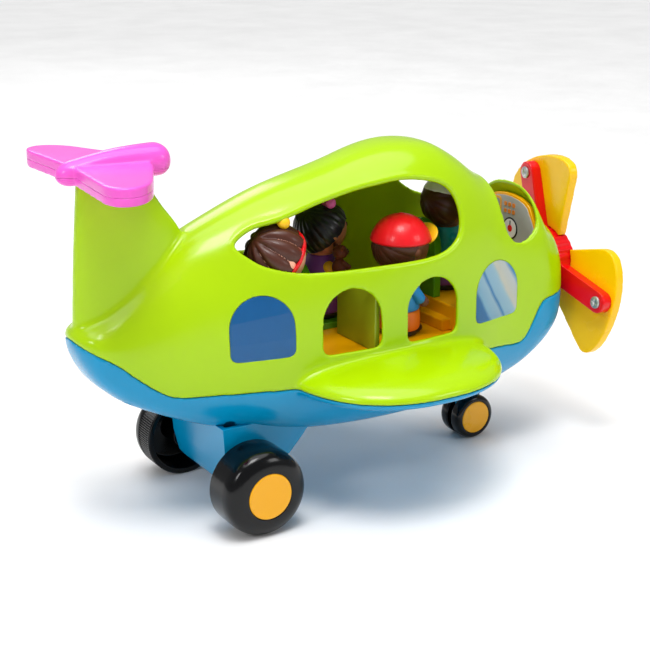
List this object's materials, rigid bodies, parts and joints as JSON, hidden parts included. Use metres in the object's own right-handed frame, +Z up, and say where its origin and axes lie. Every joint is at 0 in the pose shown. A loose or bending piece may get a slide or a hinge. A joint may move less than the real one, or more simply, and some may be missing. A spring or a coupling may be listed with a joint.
{
  "type": "toy airplane",
  "caption": "Toddler's plastic toy airplane with open cabin, lift-out peg figures, turning propeller and rolling wheels.",
  "frame": {"origin": "bottom centre of the bounding box, on the floor under the middle of the airplane", "axes": "+X along the body towards the propeller and nose, +Y towards the port wing tip, +Z up"},
  "size_m": [0.3416, 0.202, 0.2132],
  "materials": {
    "lime_plastic": "glossy moulded",
    "blue_plastic": "glossy moulded",
    "yellow_plastic": "glossy moulded",
    "olive_plastic": "glossy moulded",
    "leaf_plastic": "glossy moulded",
    "magenta_plastic": "glossy moulded",
    "white_plastic": "smooth moulded",
    "red_plastic": "glossy moulded",
    "blade_plastic": "glossy moulded",
    "amber_plastic": "glossy moulded",
    "black_plastic": "glossy moulded with a fine ribbed tread",
    "steel": "plain steel",
    "printed_label": "printed label with a clear coat",
    "teal_vinyl": "soft satin vinyl",
    "coral_vinyl": "soft satin vinyl",
    "purple_vinyl": "soft satin vinyl",
    "sky_vinyl": "soft satin vinyl",
    "dark_skin_vinyl": "soft satin vinyl",
    "light_skin_vinyl": "soft satin vinyl",
    "tan_skin_vinyl": "soft satin vinyl",
    "brown_vinyl": "soft satin vinyl",
    "black_vinyl": "soft satin vinyl",
    "white_vinyl": "soft satin vinyl",
    "red_vinyl": "soft satin vinyl"
  },
  "bodies": {
    "airframe": {"upper_body": "lime_plastic", "lower_hull": "blue_plastic", "main_gear_leg": "blue_plastic", "nose_gear_leg": "blue_plastic", "cabin_deck": "yellow_plastic", "cockpit_platform": "yellow_plastic", "seat_divider": "olive_plastic", "pilot_seat": "leaf_plastic", "passenger_seat": "leaf_plastic", "rear_seat_pad": "leaf_plastic", "dash_panel": "yellow_plastic", "dash_sticker": "printed_label", "window_stickers": "printed_label", "tailplane_upper": "magenta_plastic", "tailplane_lower": "magenta_plastic", "tailplane_screws": "steel", "hull_screws": "steel", "prop_bush": "white_plastic"},
    "rear_wheels": {"rear_axle": "steel", "rear_wheel_left": "black_plastic", "rear_wheel_right": "black_plastic", "rear_hub_cap_left": "amber_plastic", "rear_hub_cap_right": "amber_plastic", "axle_spacers": "white_plastic"},
    "nose_wheels": {"nose_axle": "steel", "nose_wheel_left": "black_plastic", "nose_wheel_right": "black_plastic", "nose_hub_cap_left": "amber_plastic", "nose_hub_cap_right": "amber_plastic"},
    "propeller": {"prop_shaft": "steel", "prop_retainer": "steel", "prop_hub": "red_plastic", "prop_cap": "red_plastic", "prop_blade_upper": "blade_plastic", "prop_blade_starboard": "blade_plastic", "prop_blade_port": "blade_plastic", "prop_screws": "steel"},
    "pilot": {"pilot_body": "teal_vinyl", "pilot_head": "dark_skin_vinyl", "pilot_cap": "white_vinyl"},
    "girl_bow": {"girl_bow_body": "coral_vinyl", "girl_bow_head": "light_skin_vinyl", "girl_bow_hair": "brown_vinyl"},
    "girl_bear": {"girl_bear_body": "purple_vinyl", "girl_bear_head": "tan_skin_vinyl", "girl_bear_hair": "black_vinyl", "girl_bear_bear": "brown_vinyl"},
    "boy": {"boy_body": "sky_vinyl", "boy_head": "dark_skin_vinyl", "boy_cap": "red_vinyl"}
  },
  "joints": [
    {"name": "rear_wheels_turn", "type": "hinge", "parent": "airframe", "child": "rear_wheels", "pos_m": [-0.08225, 0, 0.025], "axis": [0, 1, 0], "continuous": true},
    {"name": "nose_wheels_turn", "type": "hinge", "parent": "airframe", "child": "nose_wheels", "pos_m": [0.10075, 0, 0.0144], "axis": [0, 1, 0], "continuous": true},
    {"name": "propeller_turn", "type": "hinge", "parent": "airframe", "child": "propeller", "pos_m": [0.15825, 0, 0.109], "axis": [1, 0, 0], "continuous": true},
    {"name": "pilot_lift", "type": "slide", "parent": "airframe", "child": "pilot", "axis": [0, 0, 1], "range_m": [0, 0.003]},
    {"name": "girl_bow_lift", "type": "slide", "parent": "airframe", "child": "girl_bow", "axis": [0, 0, 1], "range_m": [0, 0.003]},
    {"name": "girl_bear_lift", "type": "slide", "parent": "airframe", "child": "girl_bear", "axis": [0, 0, 1], "range_m": [0, 0.006]},
    {"name": "boy_lift", "type": "slide", "parent": "airframe", "child": "boy", "axis": [0, 0, 1], "range_m": [0, 0.006]}
  ]
}
